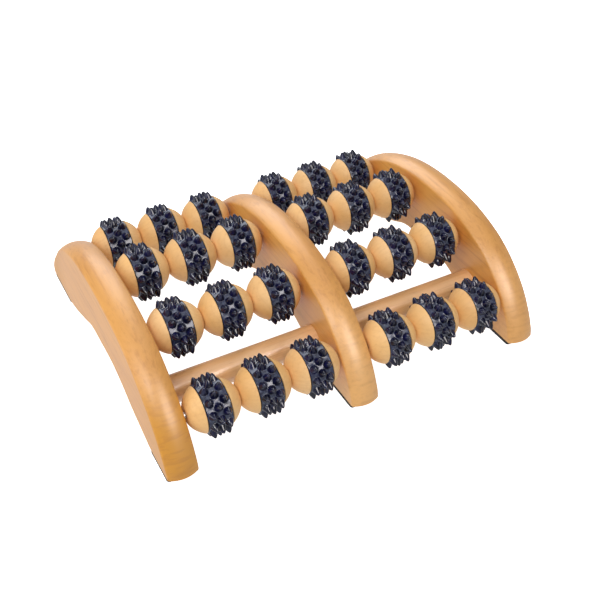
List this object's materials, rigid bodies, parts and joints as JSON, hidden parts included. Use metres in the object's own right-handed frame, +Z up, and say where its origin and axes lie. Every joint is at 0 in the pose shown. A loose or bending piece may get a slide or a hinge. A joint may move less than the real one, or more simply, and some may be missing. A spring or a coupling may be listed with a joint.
{
  "type": "foot massage roller",
  "caption": "Arched wooden foot massager: rows of wooden balls with studded rubber rings spin on steel rods between upright rails.",
  "frame": {"origin": "middle of the footprint, on the surface the pads rest on", "axes": "+X along the axle rods to the right, -Y towards the low front row, +Z up"},
  "size_m": [0.27, 0.234, 0.0759],
  "materials": {
    "rail_wood": "satin lacquer",
    "dowel_wood": "satin lacquer",
    "ball_wood": "satin lacquer",
    "ring_rubber": "glossy dark navy",
    "pad_rubber": "matt",
    "rod_steel": "bright"
  },
  "bodies": {
    "frame": {"left_rail": "rail_wood", "centre_rail": "rail_wood", "right_rail": "rail_wood", "cross_dowel": "dowel_wood", "axle_1": "rod_steel", "axle_2": "rod_steel", "axle_3": "rod_steel", "axle_4": "rod_steel", "left_front_pad": "pad_rubber", "left_rear_pad": "pad_rubber", "right_front_pad": "pad_rubber", "right_rear_pad": "pad_rubber"},
    "roller_left_1a": {"ball_left_1a": "ball_wood", "ring_left_1a": "ring_rubber"},
    "roller_left_1b": {"ball_left_1b": "ball_wood", "ring_left_1b": "ring_rubber"},
    "roller_left_1c": {"ball_left_1c": "ball_wood", "ring_left_1c": "ring_rubber"},
    "roller_right_1a": {"ball_right_1a": "ball_wood", "ring_right_1a": "ring_rubber"},
    "roller_right_1b": {"ball_right_1b": "ball_wood", "ring_right_1b": "ring_rubber"},
    "roller_right_1c": {"ball_right_1c": "ball_wood", "ring_right_1c": "ring_rubber"},
    "roller_left_2a": {"ball_left_2a": "ball_wood", "ring_left_2a": "ring_rubber"},
    "roller_left_2b": {"ball_left_2b": "ball_wood", "ring_left_2b": "ring_rubber"},
    "roller_left_2c": {"ball_left_2c": "ball_wood", "ring_left_2c": "ring_rubber"},
    "roller_right_2a": {"ball_right_2a": "ball_wood", "ring_right_2a": "ring_rubber"},
    "roller_right_2b": {"ball_right_2b": "ball_wood", "ring_right_2b": "ring_rubber"},
    "roller_right_2c": {"ball_right_2c": "ball_wood", "ring_right_2c": "ring_rubber"},
    "roller_left_3a": {"ball_left_3a": "ball_wood", "ring_left_3a": "ring_rubber"},
    "roller_left_3b": {"ball_left_3b": "ball_wood", "ring_left_3b": "ring_rubber"},
    "roller_left_3c": {"ball_left_3c": "ball_wood", "ring_left_3c": "ring_rubber"},
    "roller_right_3a": {"ball_right_3a": "ball_wood", "ring_right_3a": "ring_rubber"},
    "roller_right_3b": {"ball_right_3b": "ball_wood", "ring_right_3b": "ring_rubber"},
    "roller_right_3c": {"ball_right_3c": "ball_wood", "ring_right_3c": "ring_rubber"},
    "roller_left_4a": {"ball_left_4a": "ball_wood", "ring_left_4a": "ring_rubber"},
    "roller_left_4b": {"ball_left_4b": "ball_wood", "ring_left_4b": "ring_rubber"},
    "roller_left_4c": {"ball_left_4c": "ball_wood", "ring_left_4c": "ring_rubber"},
    "roller_right_4a": {"ball_right_4a": "ball_wood", "ring_right_4a": "ring_rubber"},
    "roller_right_4b": {"ball_right_4b": "ball_wood", "ring_right_4b": "ring_rubber"},
    "roller_right_4c": {"ball_right_4c": "ball_wood", "ring_right_4c": "ring_rubber"}
  },
  "joints": [
    {"name": "spin_left_1a", "type": "hinge", "parent": "frame", "child": "roller_left_1a", "pos_m": [-0.0965, -0.09398, 0.02919], "axis": [1, 0, 0], "continuous": true},
    {"name": "spin_left_1b", "type": "hinge", "parent": "frame", "child": "roller_left_1b", "pos_m": [-0.0625, -0.09398, 0.02919], "axis": [1, 0, 0], "continuous": true},
    {"name": "spin_left_1c", "type": "hinge", "parent": "frame", "child": "roller_left_1c", "pos_m": [-0.0285, -0.09398, 0.02919], "axis": [1, 0, 0], "continuous": true},
    {"name": "spin_right_1a", "type": "hinge", "parent": "frame", "child": "roller_right_1a", "pos_m": [0.0285, -0.09398, 0.02919], "axis": [1, 0, 0], "continuous": true},
    {"name": "spin_right_1b", "type": "hinge", "parent": "frame", "child": "roller_right_1b", "pos_m": [0.0625, -0.09398, 0.02919], "axis": [1, 0, 0], "continuous": true},
    {"name": "spin_right_1c", "type": "hinge", "parent": "frame", "child": "roller_right_1c", "pos_m": [0.0965, -0.09398, 0.02919], "axis": [1, 0, 0], "continuous": true},
    {"name": "spin_left_2a", "type": "hinge", "parent": "frame", "child": "roller_left_2a", "pos_m": [-0.0965, -0.04287, 0.05131], "axis": [1, 0, 0], "continuous": true},
    {"name": "spin_left_2b", "type": "hinge", "parent": "frame", "child": "roller_left_2b", "pos_m": [-0.0625, -0.04287, 0.05131], "axis": [1, 0, 0], "continuous": true},
    {"name": "spin_left_2c", "type": "hinge", "parent": "frame", "child": "roller_left_2c", "pos_m": [-0.0285, -0.04287, 0.05131], "axis": [1, 0, 0], "continuous": true},
    {"name": "spin_right_2a", "type": "hinge", "parent": "frame", "child": "roller_right_2a", "pos_m": [0.0285, -0.04287, 0.05131], "axis": [1, 0, 0], "continuous": true},
    {"name": "spin_right_2b", "type": "hinge", "parent": "frame", "child": "roller_right_2b", "pos_m": [0.0625, -0.04287, 0.05131], "axis": [1, 0, 0], "continuous": true},
    {"name": "spin_right_2c", "type": "hinge", "parent": "frame", "child": "roller_right_2c", "pos_m": [0.0965, -0.04287, 0.05131], "axis": [1, 0, 0], "continuous": true},
    {"name": "spin_left_3a", "type": "hinge", "parent": "frame", "child": "roller_left_3a", "pos_m": [-0.0965, 0.01258, 0.05655], "axis": [1, 0, 0], "continuous": true},
    {"name": "spin_left_3b", "type": "hinge", "parent": "frame", "child": "roller_left_3b", "pos_m": [-0.0625, 0.01258, 0.05655], "axis": [1, 0, 0], "continuous": true},
    {"name": "spin_left_3c", "type": "hinge", "parent": "frame", "child": "roller_left_3c", "pos_m": [-0.0285, 0.01258, 0.05655], "axis": [1, 0, 0], "continuous": true},
    {"name": "spin_right_3a", "type": "hinge", "parent": "frame", "child": "roller_right_3a", "pos_m": [0.0285, 0.01258, 0.05655], "axis": [1, 0, 0], "continuous": true},
    {"name": "spin_right_3b", "type": "hinge", "parent": "frame", "child": "roller_right_3b", "pos_m": [0.0625, 0.01258, 0.05655], "axis": [1, 0, 0], "continuous": true},
    {"name": "spin_right_3c", "type": "hinge", "parent": "frame", "child": "roller_right_3c", "pos_m": [0.0965, 0.01258, 0.05655], "axis": [1, 0, 0], "continuous": true},
    {"name": "spin_left_4a", "type": "hinge", "parent": "frame", "child": "roller_left_4a", "pos_m": [-0.0965, 0.06693, 0.0444], "axis": [1, 0, 0], "continuous": true},
    {"name": "spin_left_4b", "type": "hinge", "parent": "frame", "child": "roller_left_4b", "pos_m": [-0.0625, 0.06693, 0.0444], "axis": [1, 0, 0], "continuous": true},
    {"name": "spin_left_4c", "type": "hinge", "parent": "frame", "child": "roller_left_4c", "pos_m": [-0.0285, 0.06693, 0.0444], "axis": [1, 0, 0], "continuous": true},
    {"name": "spin_right_4a", "type": "hinge", "parent": "frame", "child": "roller_right_4a", "pos_m": [0.0285, 0.06693, 0.0444], "axis": [1, 0, 0], "continuous": true},
    {"name": "spin_right_4b", "type": "hinge", "parent": "frame", "child": "roller_right_4b", "pos_m": [0.0625, 0.06693, 0.0444], "axis": [1, 0, 0], "continuous": true},
    {"name": "spin_right_4c", "type": "hinge", "parent": "frame", "child": "roller_right_4c", "pos_m": [0.0965, 0.06693, 0.0444], "axis": [1, 0, 0], "continuous": true}
  ]
}
